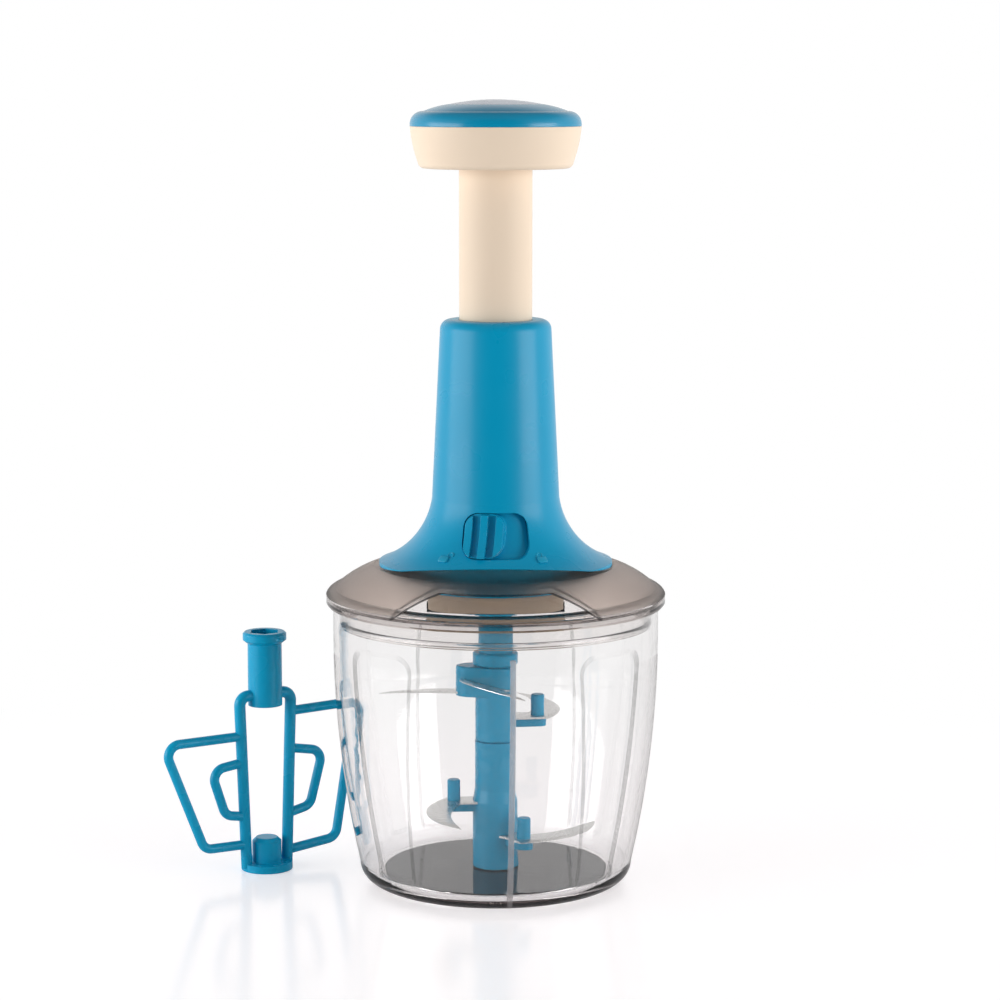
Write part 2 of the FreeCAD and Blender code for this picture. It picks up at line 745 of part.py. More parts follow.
def plate_tabs(grow):
    """Clip tabs that stand up from the plate's ends into notches in the drum."""
    tip = drum_half_l + plate_tab_proud
    tab = bar(tip - plate_tab_t - grow, tip + grow, plate_tab_w + 2 * grow,
              plate_z, drum_z + plate_tab_h + grow)
    return at_both_ends(tab)


def cover_plate():
    """Dark plate under the drum, held by screws and clip tabs."""
    body = oblong(drum_half_l - plate_inset, drum_half_w - plate_inset, plate_z, drum_z)
    body = body.fuse(plate_tabs(0))
    head = moved(screw(screw_r + SEAT, screw_head_r + SEAT, screw_len), screw_circle, 0, plate_z)
    return body.cut([rod(bearing_r() + SEAT, plate_z - PAST, drum_z + PAST), at_both_ends(head)])


def cover_screws():
    one = moved(screw(screw_r, screw_head_r, screw_len), screw_circle, 0, plate_z)
    return Part.Compound([one, spun(one, 180)])


# ---------------------------------------------------------------- lock
def lock_slider():
    """Ribbed thumb piece on a plate that closes the window, with a tongue that reaches the plunger."""
    back = tower_form(tower_wall + AIR + shutter_t / 2, sleeve_z)
    thumb = lock_prism(AIR).common(tower_form(lock_sunk, sleeve_z)).cut(back)
    ribs = []
    for i in (-1, 0, 1):
        side = i * lock_rib_pitch - lock_rib_w / 2
        ribs.append(Part.makeBox(flange_r, lock_rib_w, 2 * lock_half, Vector(0, side, lock_z - lock_half)))
    ridges = lock_prism(2 * AIR).common(tower_form(lock_sunk - lock_rib_h, sleeve_z))
    ridges = ridges.cut(tower_form(lock_sunk * 2, sleeve_z - PAST)).common(ribs[0].fuse(ribs[1:]))
    tip = tube_r - groove_depth + groove_gap
    tongue = bar(tip, flange_r, tongue_w, lock_z - tongue_t / 2, lock_z + tongue_t / 2).common(back)
    plate = behind_window(lock_half + shutter_lap, shutter_half, AIR)
    plate = plate.cut(tower_form(tower_wall + AIR + shutter_t, sleeve_z - PAST))
    return spun(plate.fuse([thumb, ridges, tongue]), lock_azimuth)


# ---------------------------------------------------------------- plunger
def plunger_tube():
    """Tube with a stop flange below, a knob flange above and an L-shaped lock groove."""
    top = knob_z + knob_wall + knob_flange_t
    body = rod(tube_r, tube_z, top).fuse([
        rod(tube_r + stop_flange_w, tube_z, tube_z + stop_flange_t),
        rod(knob_flange_r, knob_z + knob_wall, top)])
    body = body.cut([rod(tube_bore, tube_z - 1, nut_z + nut_h),
                     rod(tube_bore - nut_ledge, nut_z, top + 1), knob_screws()])
    groove_floor = tube_r - groove_depth
    width = tongue_w + 2 * groove_gap
    high = tongue_t / 2 + groove_gap
    lock_level = lock_z + stroke
    run = bar(groove_floor, tube_r + stop_flange_w + 1, width, tube_z - 1, lock_level + high)
    side = math.degrees(math.asin(width / 2 / groove_floor))
    branch = turned((groove_floor, lock_level - high), (tube_r + 1, lock_level - high),
                    (tube_r + 1, lock_level + high), (groove_floor, lock_level + high),
                    angle=lock_swing + side)
    return body.cut([spun(run, lock_azimuth), spun(branch, lock_azimuth)])


def twisted_bar(width, thick, z0, z1):
    """Flat bar twisted about Z at the spindle's lead."""
    turns = (z1 - z0) / spindle_lead
    count = max(2, int(math.ceil(turns * 360 / twist_step)))
    sections = []
    for i in range(count + 1):
        z = z0 + (z1 - z0) * i / count
        angle = 360.0 * z / spindle_lead
        corners = [Vector(sx * width / 2, sy * thick / 2, 0)
                   for sx, sy in ((1, 1), (-1, 1), (-1, -1), (1, -1), (1, 1))]
        wire = Part.makePolygon(corners)
        wire.rotate(Vector(0, 0, 0), Vector(0, 0, 1), angle)
        wire.translate(Vector(0, 0, z))
        sections.append(wire)
    return Part.makeLoft(sections, True, True)


def drive_nut():
    body = rod(tube_bore - SEAT, nut_z, nut_z + nut_h)
    slot = twisted_bar(spindle_w + 2 * AIR, spindle_t + 2 * AIR, nut_z - 1, nut_z + nut_h + 1)
    return body.cut(slot)


def nut_retainer():
    """Snap ring under the nut."""
    return tube(tube_bore - SEAT - retainer_w, tube_bore - SEAT, nut_z - retainer_h, nut_z)


def return_spring():
    """Coil round the spindle, from the housing floor up to the nut."""
    low = sleeve_z + seat_t
    height = nut_z - low
    rise = height - spring_wire
    helix = Part.makeHelix(rise / spring_turns, rise, spring_r)
    profile = Part.Wire(Part.makeCircle(spring_wire / 2, Vector(spring_r, 0, 0), Vector(0, 1, 0)))
    coil = Part.Wire(helix).makePipeShell([profile], True, True)
    return moved(coil, 0, 0, low + spring_wire / 2)


def knob_body():
    """Light lower shell of the knob, open at the top under the cap."""
    top = knob_z + knob_low_h
    w = knob_wall
    corner = (knob_low_r - knob_corner, knob_z)
    side = (knob_low_r, knob_z + knob_corner)
    body = turned((0, knob_z), corner, (between(corner, side, 0.6), side),
                  (between(side, (knob_r, top), 0.5), (knob_r, top)), (0, top))
    hollow = turned((0, knob_z + w), (knob_low_r - w - 1, knob_z + w), (knob_r - w, top + 1), (0, top + 1))
    body = body.cut([hollow, rod(tube_r + SEAT, knob_z - 1, top)])
    return body.cut(knob_screws())


def knob_screws():
    """Pan-head screws through the tube's flange into the knob's floor."""
    under = knob_z + knob_wall + knob_flange_t
    at = (tube_r + knob_flange_r) / 2
    one = rod(knob_screw_r, knob_z + knob_wall / 3, under, at)
    one = one.fuse(rod(2 * knob_screw_r, under, under + knob_screw_head_t, at))
    return Part.Compound([spun(one, i * 360 / knob_screw_count) for i in range(knob_screw_count)])


def cap_form(inset):
    low = knob_z + knob_low_h
    top = low + cap_h
    edge = (knob_r - inset, low + cap_lip)
    shoulder = (cap_shoulder_r - inset, top - cap_shoulder_drop - inset)
    brow = (inlay_r, top - inlay_dome + 0.3 - inset)
    return turned((0, low), (knob_r - inset, low), edge, (between(edge, shoulder, 1.5), shoulder),
                  (between(shoulder, brow, 0.35), brow), (0, top - inlay_dome + 0.3 - inset))


def knob_cap():
    """Soft-edged cap with a skirt that snaps inside the lower shell."""
    low = knob_z + knob_low_h
    top = low + cap_h
    skirt_r = knob_r - knob_wall - cap_lip
    body = cap_form(0).cut(cap_form(cap_wall))
    body = body.fuse([tube(skirt_r - 1.4, skirt_r, low - cap_skirt_h, low + cap_lip),
                      tube(skirt_r - 1.4, knob_r - cap_lip, low, low + cap_lip)])
    return body.cut(rod(inlay_r + SEAT, top - inlay_dome + 0.3 - inlay_t, top + 1))


def knob_inlay():
    top = knob_z + knob_low_h + cap_h
    base = top - inlay_dome + 0.3
    return turned((0, base - inlay_t), (inlay_r, base - inlay_t), (inlay_r, base), crown(inlay_r, base, top))


# ---------------------------------------------------------------- spindle
def twisted_spindle():
    """Twisted flat bar on a round journal, with a stub for the drive shaft."""
    bar_z = sleeve_z + seat_t + journal_flange_t
    body = twisted_bar(spindle_w, spindle_t, bar_z - journal_flange_t / 3, bar_z + spindle_len)
    flange = rod(journal_flange_r, sleeve_z + seat_t, bar_z)
    journal = rod(journal_r, shaft_top_z, sleeve_z + seat_t)
    stub = rod(stub_r, shaft_top_z - stub_len, shaft_top_z)
    body = body.fuse([flange, journal, stub])
    return body.cut(cross_pin())


def cross_pin():
    z = shaft_top_z - cross_pin_drop
    reach = shaft_r - 0.4
    return Part.makeCylinder(cross_pin_r, 2 * reach, Vector(-reach, 0, z), Vector(1, 0, 0))


def drive_shaft():
    """Plastic shaft below the lid, with a collar and the hexagon that turns the blades."""
    body = turned((0, shaft_z), (collar_r - 0.6, shaft_z), (collar_r, shaft_z + 0.6),
                  (collar_r, shaft_z + collar_h - 0.6), (collar_r - 0.6, shaft_z + collar_h),
                  (shaft_r, shaft_z + collar_h), (shaft_r, shaft_top_z), (0, shaft_top_z))
    body = body.fuse(hexagon(tongue_af, shaft_z - tongue_h, shaft_z + 1))
    return body.cut([rod(stub_r + SEAT, shaft_top_z - stub_len - AIR, shaft_top_z + 1), cross_pin()])


# ---------------------------------------------------------------- beater
def beater():
    """One moulding: drive socket, two posts, four staggered loops and a foot ring."""
    rim_z = beater_h - beater_rim_h
    stub_z = beater_ring_t + beater_stub_h
    edge = beater_edge
    solid = [turned((0, beater_tube_z), (beater_tube_r, beater_tube_z),
                    (beater_tube_r, rim_z - 2 * edge), (beater_rim_r, rim_z),
                    (beater_rim_r, beater_h - edge), (beater_rim_r - edge, beater_h), (0, beater_h))]
    solid.append(rod(beater_ring_r, 0, beater_ring_t))
    solid.append(turned((0, 0), (beater_stub_r, 0), (beater_stub_r, stub_z - 2 * edge),
                        (beater_stub_r - 2 * edge, stub_z), (0, stub_z)))
    for side in (-1, 1):
        post = [Vector(side * beater_tube_r / 2, 0, beater_shoulder_z),
                Vector(side * beater_post_top, 0, beater_shoulder_z),
                Vector(side * beater_post_low, 0, beater_ring_t / 2)]
        solid.append(bent_rod(post, beater_post_r, 1.6 * beater_post_r))
    for side, root, corner, reach in beater_loops:
        points = [Vector(side * post_x(root[0]), 0, root[0]), Vector(side * reach[0], 0, corner[0]),
                  Vector(side * reach[1], 0, corner[1]), Vector(side * post_x(root[1]), 0, root[1])]
        solid.append(bent_rod(points, beater_bar_r, beater_bend))
    body = solid[0].fuse(solid[1:])
    body = body.cut(hexagon(2 * beater_bore_r, beater_tube_z + beater_bore_floor, beater_h + PAST))
    return moved(spun(body, beater_yaw), beater_x, beater_y, 0)


def post_x(height):
    """Distance of a post's centre from the beater's axis at a height."""
    share = height / beater_shoulder_z
    return beater_post_low + (beater_post_top - beater_post_low) * share


# ---------------------------------------------------------------- build
def main():
    save("bowl", bowl())
    save("anti_slip_base", anti_slip_base())
    save("blade_pin", blade_pin())
    save("lower_blade_stem", lower_blade_stem())
    save("upper_blade_stem", upper_blade_stem())
    for name, level, angle, tip_r in side_blades:
        save(name, side_blade(level, angle, tip_r))
    save("top_left_blade", hub_blade())
    save("top_front_blade", front_blade())
    save("lid_dome", lid_dome())
    save("lid_gasket", lid_gasket())
    save("tower", tower())
    save("clamp_ring", clamp_ring())
    save("guide_bush", guide_bush())
    save("drive_housing", drive_housing())
    save("spindle_bush", spindle_bush())
    save("cover_plate", cover_plate())
    save("cover_screws", cover_screws())
    save("lock_slider", lock_slider())
    save("plunger_tube", plunger_tube())
    save("drive_nut", drive_nut())
    save("nut_retainer", nut_retainer())
    save("return_spring", return_spring())
    save("knob_body", knob_body())
    save("knob_screws", knob_screws())
    save("knob_cap", knob_cap())
    save("knob_inlay", knob_inlay())
    save("twisted_spindle", twisted_spindle())
    save("cross_pin", cross_pin())
    save("drive_shaft", drive_shaft())
    save("beater", beater())


main()
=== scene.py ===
"""Looks for the push-down food chopper: finishes, relief marks, studio and camera round the frame.

Metres, +Z up, the frame's own axes. The front, with the lock slider and the window, faces -Y.
Colours are linear, and the scale of a noise is in waves per metre.
"""

import json
import math

import bmesh
import bpy
from mathutils import Matrix, Vector
from mathutils.bvhtree import BVHTree

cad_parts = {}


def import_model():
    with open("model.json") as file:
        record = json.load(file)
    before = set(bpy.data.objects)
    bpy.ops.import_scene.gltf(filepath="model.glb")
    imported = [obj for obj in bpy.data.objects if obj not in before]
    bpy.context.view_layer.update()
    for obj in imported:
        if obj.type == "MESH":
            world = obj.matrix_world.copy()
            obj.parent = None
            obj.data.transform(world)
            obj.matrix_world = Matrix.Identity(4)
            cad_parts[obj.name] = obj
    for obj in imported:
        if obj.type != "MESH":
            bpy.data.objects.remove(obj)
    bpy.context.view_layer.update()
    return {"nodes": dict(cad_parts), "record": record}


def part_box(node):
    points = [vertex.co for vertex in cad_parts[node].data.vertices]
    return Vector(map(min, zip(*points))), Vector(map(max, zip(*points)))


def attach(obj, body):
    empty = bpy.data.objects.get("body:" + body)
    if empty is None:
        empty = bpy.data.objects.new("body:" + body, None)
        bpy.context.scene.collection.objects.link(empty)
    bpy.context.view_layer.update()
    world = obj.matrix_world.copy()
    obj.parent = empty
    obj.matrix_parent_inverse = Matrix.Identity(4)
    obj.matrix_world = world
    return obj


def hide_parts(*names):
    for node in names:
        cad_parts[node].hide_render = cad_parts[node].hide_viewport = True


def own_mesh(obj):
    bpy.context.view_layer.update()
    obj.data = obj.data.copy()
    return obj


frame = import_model()
nodes = frame["nodes"]

# ---------------------------------------------------------------- view
CAMERA_AT = Vector((0.0, -1.2, 0.3316))
CAMERA_AIM = Vector((0.0, 0.0, 0.1604))
FRAME_PX = 1000.0              # width of the picture
FOCAL_PX = 2927.3
AXIS_PX = 495.7                # column of the chopper's axis
SENSOR_MM = 36.0

# ---------------------------------------------------------------- sizes from the frame
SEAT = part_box("bowl")[1].z     # rim of the bowl, under the lid

# ---------------------------------------------------------------- clear window in the lid
# A pair of values is the span over which one finish turns into the next.
WINDOW_HALF = 0.040            # half-width at its foot
WINDOW_FOOT = SEAT + 0.0042
WINDOW_CROWN = SEAT + 0.0167   # of the arch that its sides follow
WINDOW_EDGE = (0.0, 0.0003)    # distance inside that arch
WINDOW_TOP = (SEAT + 0.0132, SEAT + 0.0134)   # where it is cut off level
WINDOW_BACK = (-0.012, -0.010)                # y where it ends, so that the back has none
LINE_HALF = (0.00024, 0.0004)  # half-width of the painted dark line along its sides, a painted shade for its edge
LINE_FOOT = (SEAT + 0.0026, SEAT + 0.0029)
RIM_FOOT = (SEAT + 0.0006, SEAT + 0.0014)     # the rim's outer edge is darker from here up
FROST_FOOT = (SEAT + 0.0036, SEAT + 0.0046)   # the dome is frosted from here up
FROST_FACING = (0.05, 0.2)     # how far up a frosted face looks, as its normal's z

# ---------------------------------------------------------------- baffle rib in the bowl
RIB_DEG = 6.0                  # from the front, towards +X
RIB_HALF = (0.001035, 0.00115)
RIB_TOP = (0.1055, 0.1060)
RIB_BACK = (-0.040, -0.039)    # y where its band ends, so that only the front wall has it
RIB_HAZE = 0.18                # how much rougher than the wall it is
RIB_CLEAR = 0.80               # share of the light that goes through it

# ---------------------------------------------------------------- lock marks on the flare
MARK_LEVEL = SEAT + 0.0232
MARK_OPEN_DEG = -33.0          # from the front, towards +X
MARK_SHUT_DEG = 29.0
MARK_W = 0.0040
MARK_BODY_H = 0.0032
MARK_CORNER = 0.0005
MARK_EDGE = 0.00012            # rounding of its top edge
EDGE_MIDDLE = 0.3              # share of that rounding at which its middle lies
MARK_PROUD = 0.0007
MARK_SUNK = 0.0003             # depth of a mark in the flare and of a shackle in its body
SHACKLE_R = 0.00115
SHACKLE_WIRE = 0.00042
SHACKLE_LEG = 0.0012
SHACKLE_FREE = 0.35            # share of the leg that the open shackle's free end has
SHACKLE_ARC = 12               # steps round its bend
CORNER_ARC = 6                 # steps round a corner of the body
WIRE_SIDES = 10
CAST_FROM = 0.2                # distance from the axis at which a ray to the tower starts

# ---------------------------------------------------------------- colours
BLUE = (0.001, 0.325, 0.555)
CREAM = (0.85, 0.700, 0.550)
BEARING_WHITE = (0.84, 0.83, 0.80)
# painted shade: the near-black plate under the drum stands for the drum's shaded lower edge
PLATE_SHADE_DARK = (0.018, 0.022, 0.026)
# partly painted glare: the inlay is lighter than its own grey, for the bright reflection on the
# knob's top
INLAY_GREY_AND_GLARE = (0.70, 0.74, 0.84)
RUBBER_DARK = (0.020, 0.018, 0.022)
SEAL_CLEAR = (0.94, 0.93, 0.93)
STEEL = (0.63, 0.62, 0.61)
# painted highlight: the marks are a lighter blue than the tower, for the light that their edges catch
MARK_LIT_BLUE = (0.015, 0.360, 0.570)
WHITE = (1.0, 1.0, 1.0)

SMOKE = (0.80, 0.69, 0.625)    # the frosted dome
RIM_TONE = (0.62, 0.58, 0.57)
WINDOW_TINT = (0.92, 0.90, 0.89)
# painted shade: the dark line along the window's sides, standing for the window's edge
EDGE_LINE_SHADE = (0.05, 0.045, 0.045)
LID_BODY = (0.50, 0.43, 0.40)  # tint that grows with the plastic's thickness
LID_DENSITY = 45.0
LID_SHADOW = (0.16, 0.145, 0.14)
LID_IOR = 1.28
LID_POLISH = 0.03              # roughness of its clear parts

CLEAR = (0.985, 0.985, 0.985)
RIB_TONE = (0.80, 0.77, 0.77)
BOWL_BODY = (0.62, 0.57, 0.57)
BOWL_DENSITY = 52.0
BOWL_SHADOW = (0.74, 0.74, 0.74)
BOWL_IOR = 1.47
SILICONE_IOR = 1.41

# ---------------------------------------------------------------- sheen and grain
NOISE_SPAN = (0.3, 0.7)        # where most values of a noise lie
HAZE_SPAN = (0.35, 0.75)       # values of the bowl's haze that its roughness follows
EDGE_R = 0.0005                # soft edges of moulded pieces
BLUE_GLEAM = 0.25              # specular level of the moulded pieces
CREAM_GLEAM = 0.08
CAP_GLEAM = 0.44
CAP_SHADE = 0.84                # painted shade: the knob's cap is a shade deeper than the tower, for the weaker light on its sloping top
RING_SHADE = 0.06               # painted shade: the clamp ring and the drum are darkened because they sit in the dark under the tower
DRUM_SHADE = 0.52
# painted shade: the stems and the drive shaft are darkened for the shade inside the bowl
STEM_SHADE = 0.72
# painted light: the beater is lightened for the brighter light that falls on it
BEATER_PAINTED_LIGHT = 1.14
STEEL_SCRATCH = (4200.0, 6.0, 300.0)   # per metre outwards, per radian round, per metre up

# ---------------------------------------------------------------- studio
FLOOR_WHITE = (0.870, 0.845, 0.852)
FLOOR_R = 0.5
FLOOR_SIDES = 96
FLOOR_DROP = 0.00005           # keeps the table clear of the foot
FLOOR_FADE = (0.14, 0.42)      # distances from the axis between which it turns white
FLOOR_GLOW = 0.5               # keeps the table white under a soft shadow

# The world's ramps: low, high, level up to low, level from high. Depth is -1 at the camera's side.
MIRROR_BY_DEPTH = (-0.74, -0.46, 0.02, 1.0)
MIRROR_BEHIND = (-0.05, 0.30, 1.0, 0.90)
MIRROR_BY_HEIGHT = (0.40, 0.75, 1.0, 0.30)
LIGHT_BY_DEPTH = (-0.93, -0.72, 0.06, 1.0)
LIGHT_BY_HEIGHT = (0.0, 0.55, 1.36, 0.33)

LAMP_AIM = Vector((0.0, 0.0, 0.17))
LAMP_HEIGHT = 0.60
LAMPS = (                      # name, place, width, watts
    ("left", Vector((-1.10, -0.34, 0.29)), 1.15, 7.8),
    ("right", Vector((1.06, -0.45, 0.29)), 0.80, 6.5),
)


# ---------------------------------------------------------------- node helpers
class Graph:
    """A node tree and short ways to add and join its nodes."""

    def __init__(self, tree):
        self.tree = tree

    def add(self, kind, **settings):
        node = self.tree.nodes.new(kind)
        for key, value in settings.items():
            setattr(node, key, value)
        return node

    def join(self, source, target):
        """Links a socket to the target, or sets the target to a number or a colour."""
        if isinstance(source, (int, float)):
            target.default_value = source
        elif isinstance(source, tuple):
            target.default_value = (*source, 1.0)[:len(target.default_value)]
        else:
            self.tree.links.new(source, target)

    def fill(self, node, *sources):
        """Joins the sources to the node's first inputs and returns its first output."""
        for source, socket in zip(sources, node.inputs):
            self.join(source, socket)
        return node.outputs[0]

    def math(self, operation, *values):
        return self.fill(self.add("ShaderNodeMath", operation=operation), *values)

    def product(self, first, *others):
        """All values multiplied, where the first is a socket."""
        for other in others:
            first = self.math("MULTIPLY", first, other)
        return first

    def hypot(self, a, b):
        return self.math("SQRT", self.math("ADD", self.product(a, a), self.product(b, b)))

    def step(self, value, low, high, out_low=0.0, out_high=1.0):
        """Smooth step from out_low at low to out_high at high."""
        node = self.add("ShaderNodeMapRange", interpolation_type="SMOOTHSTEP")
        return self.fill(node, value, low, high, out_low, out_high)

    def until(self, value, low, high):
        """1 up to low, then a smooth step down to 0 at high."""
        return self.step(value, low, high, 1.0, 0.0)

    def choose(self, share, a, b):
        """Number a where share is 0, b where it is 1."""
        node = self.add("ShaderNodeMix", data_type="FLOAT")
        self.join(share, node.inputs[0])
        self.join(a, node.inputs[2])
        self.join(b, node.inputs[3])
        return node.outputs[0]

    def seen(self, ray):
        """1 for what the camera sees, straight or through clear plastic."""
        return self.math("MAXIMUM", ray["Is Camera Ray"], ray["Is Transmission Ray"])

    def split(self, vector):
        """The vector's x, y and z."""
        node = self.add("ShaderNodeSeparateXYZ")
        self.join(vector, node.inputs[0])
        return node.outputs


class Look(Graph):
    """A material, with ways to set its shader."""

    def __init__(self, name):
        self.material = bpy.data.materials.new(name)
        self.material.use_nodes = True
        super().__init__(self.material.node_tree)
        self.shader = self.tree.nodes["Principled BSDF"]
        self.output = self.tree.nodes["Material Output"]
        self.place = self.add("ShaderNodeTexCoord").outputs["Object"]

    def set(self, **values):
        """Joins values to the shader's inputs. An underscore stands for a space in the name."""
        for key, value in values.items():
            self.join(value, self.shader.inputs[key.replace("_", " ")])

    def noise(self, scale, detail=2.0, place=None, stretch=None):
        """Noise from 0 to 1. Along an axis with a stretch under 1 its clouds are longer."""
        node = self.add("ShaderNodeTexNoise")
        node.inputs["Scale"].default_value = scale
        node.inputs["Detail"].default_value = detail
        place = place or self.place
        if stretch:
            mapping = self.add("ShaderNodeMapping")
            mapping.inputs["Scale"].default_value = stretch
            self.join(place, mapping.inputs["Vector"])
            place = mapping.outputs[0]
        self.join(place, node.inputs["Vector"])
        return node.outputs["Fac"]

    def spread(self, noise, low, high):
        """A noise whose most common values run from low to high."""
        return self.step(noise, *NOISE_SPAN, low, high)

    def blend(self, share, a, b):
        """Colour a where share is 0, b where it is 1."""
        node = self.add("ShaderNodeMix", data_type="RGBA")
        self.join(share, node.inputs[0])
        self.join(a, node.inputs[6])
        self.join(b, node.inputs[7])
        return node.outputs[2]

    def mottle(self, noise, colour, darkest, palest):
        """Base colour that wanders between two shades of the colour."""
        self.set(Base_Color=self.blend(noise, shade(colour, darkest), shade(colour, palest)))

    def soft_edges(self, radius):
        """Normal that rounds the sharp edges, so that they catch the light."""
        node = self.add("ShaderNodeBevel", samples=4)
        node.inputs["Radius"].default_value = radius
        return node.outputs[0]

    def relief(self, height, depth, strength, normal=None):
        """Bump from a height of 0 to 1 that stands for depth in metres."""
        node = self.add("ShaderNodeBump")
        if normal:
            self.join(normal, node.inputs["Normal"])
        node.inputs["Strength"].default_value = strength
        node.inputs["Distance"].default_value = depth
        self.join(height, node.inputs["Height"])
        self.set(Normal=node.outputs[0])

    def tint_body(self, colour, density):
        """The thicker the plastic is where light goes through, the darker it looks."""
        body = self.add("ShaderNodeVolumeAbsorption")
        self.join(colour, body.inputs["Color"])
        body.inputs["Density"].default_value = density
        self.join(body.outputs[0], self.output.inputs["Volume"])

    def emission(self, colour, strength):
        return self.fill(self.add("ShaderNodeEmission"), colour, strength)

    def mix_shaders(self, share, a, b):
        """Shader a where share is 0, b where it is 1."""
        return self.fill(self.add("ShaderNodeMixShader"), share, a, b)

    def let_lamps_through(self, tint):
        """Lamps shine through the plastic instead of leaving a black shadow."""
        ray = self.add("ShaderNodeLightPath").outputs
        clear = self.fill(self.add("ShaderNodeBsdfTransparent"), tint)
        surface = self.mix_shaders(ray["Is Shadow Ray"], self.shader.outputs[0], clear)
        self.join(surface, self.output.inputs["Surface"])


def shade(colour, factor):
    return tuple(min(1.0, part * factor) for part in colour)


# ---------------------------------------------------------------- finishes
def moulded(name, colour, roughness=0.29, gleam=BLUE_GLEAM):
    """Satin moulded plastic: faint flow clouds in the colour and a fine spark-eroded grain."""
    look = Look(name)
    flow = look.noise(scale=14.0, detail=3.0, stretch=(1.0, 1.0, 0.35))
    look.mottle(flow, colour, darkest=0.965, palest=1.035)
    rub = look.noise(scale=70.0)
    look.set(Roughness=look.spread(rub, roughness - 0.02, roughness + 0.03), Specular_IOR_Level=gleam)
    grain = look.noise(scale=2600.0)
    look.relief(grain, depth=0.00001, strength=0.25, normal=look.soft_edges(EDGE_R))
    return look.material


def steel(name):
    """Ground stainless steel, the scratches running round the axis."""
    look = Look(name)
    x, y, z = look.split(look.place)
    polar = look.hypot(x, y), look.math("ARCTAN2", y, x), z
    scaled = [look.product(value, count) for value, count in zip(polar, STEEL_SCRATCH)]
    place = look.fill(look.add("ShaderNodeCombineXYZ"), *scaled)
    scratch = look.noise(scale=1.0, detail=5.0, place=place)
    look.mottle(scratch, STEEL, darkest=0.94, palest=1.04)
    look.set(Metallic=1.0, Roughness=look.spread(scratch, 0.20, 0.34))
    look.relief(scratch, depth=0.000004, strength=0.6)
    return look.material


def gloss_inlay(name):
    """Pressed inlay under a clear lacquer. Its pale grey-blue is partly its own colour and partly
    painted glare on the knob's top.
    """
    look = Look(name)
    flake = look.noise(scale=120.0)
    look.mottle(flake, INLAY_GREY_AND_GLARE, darkest=0.98, palest=1.02)
    look.set(Roughness=look.spread(flake, 0.24, 0.28))
    return look.material


def silicone(name):
    """Milky clear silicone."""
    look = Look(name)
    cloud = look.noise(scale=220.0, detail=3.0)
    look.set(Base_Color=SEAL_CLEAR, Transmission_Weight=1.0, IOR=SILICONE_IOR,
             Roughness=look.spread(cloud, 0.10, 0.20))
    look.let_lamps_through(SEAL_CLEAR)
    return look.material


def rubber(name, colour, roughness):
    """Dull rubber with a cloudy bloom and a coarse grain."""
    look = Look(name)
    bloom = look.noise(scale=45.0, detail=4.0)
    look.mottle(bloom, colour, darkest=0.85, palest=1.25)
    look.set(Roughness=look.spread(bloom, roughness - 0.06, roughness + 0.06))
    look.relief(look.noise(scale=1500.0, detail=3.0), depth=0.00003, strength=0.6)
    return look.material


def clear_plastic(name):
    """Bowl plastic: polished, with faint flow waves, a smoky tint where it is seen edge-on and a
    paler band on the baffle rib."""
    look = Look(name)
    x, y, z = look.split(look.place)
    turn = math.radians(RIB_DEG)
    across = look.math("ADD", look.product(x, math.cos(turn)), look.product(y, math.sin(turn)))
    rib = look.product(look.until(look.math("ABSOLUTE", across), *RIB_HALF),
                       look.until(y, *RIB_BACK), look.until(z, *RIB_TOP))
    haze = look.noise(scale=60.0, detail=4.0, stretch=(1.0, 1.0, 0.3))
    polish = look.step(haze, *HAZE_SPAN, 0.012, 0.045)
    look.set(Base_Color=look.blend(rib, CLEAR, RIB_TONE), IOR=BOWL_IOR,
             Transmission_Weight=look.step(rib, 0.0, 1.0, 1.0, RIB_CLEAR),
             Roughness=look.math("ADD", polish, look.product(rib, RIB_HAZE)))
    waves = look.noise(scale=38.0, stretch=(1.0, 1.0, 0.25))
    look.relief(waves, depth=0.00012, strength=0.25)
    look.tint_body(BOWL_BODY, BOWL_DENSITY)
    look.let_lamps_through(BOWL_SHADOW)
    return look.material


def smoke_plastic(name):
    """Lid plastic: frosted smoke on top, clear in the window, the plug and underneath; painted shade
    makes a dark line along the window's sides.
    """
    look = Look(name)
    x, y, z = look.split(look.place)
    upward = look.split(look.add("ShaderNodeNewGeometry").outputs["Normal"])[2]
    drop = WINDOW_CROWN - WINDOW_FOOT
    arch_r = (WINDOW_HALF ** 2 + drop ** 2) / (2 * drop)
    reach = look.hypot(x, look.math("SUBTRACT", z, WINDOW_CROWN - arch_r))
    inside = look.math("SUBTRACT", arch_r, reach)
    front = look.product(look.until(y, *WINDOW_BACK), look.until(z, *WINDOW_TOP))
    window = look.product(look.step(inside, *WINDOW_EDGE), front)
    line = look.product(look.until(look.math("ABSOLUTE", inside), *LINE_HALF),
                        look.step(z, *LINE_FOOT), front)
    frost = look.product(look.step(upward, *FROST_FACING), look.step(z, *FROST_FOOT),
                         look.math("SUBTRACT", 1.0, window))
    rim = look.product(look.step(z, *RIM_FOOT), look.until(z, *FROST_FOOT))
    grain = look.noise(scale=1800.0)
    rough = look.product(frost, look.spread(grain, 0.40, 0.50))
    tone = look.blend(frost, look.blend(rim, WINDOW_TINT, RIM_TONE), SMOKE)
    # the dark line along the window's sides is painted shade
    look.set(Base_Color=look.blend(line, tone, EDGE_LINE_SHADE), IOR=LID_IOR,
             Transmission_Weight=1.0, Roughness=look.math("ADD", rough, LID_POLISH))
    look.relief(look.product(grain, frost), depth=0.00002, strength=0.5)
    look.tint_body(LID_BODY, LID_DENSITY)
    look.let_lamps_through(LID_SHADOW)
    return look.material


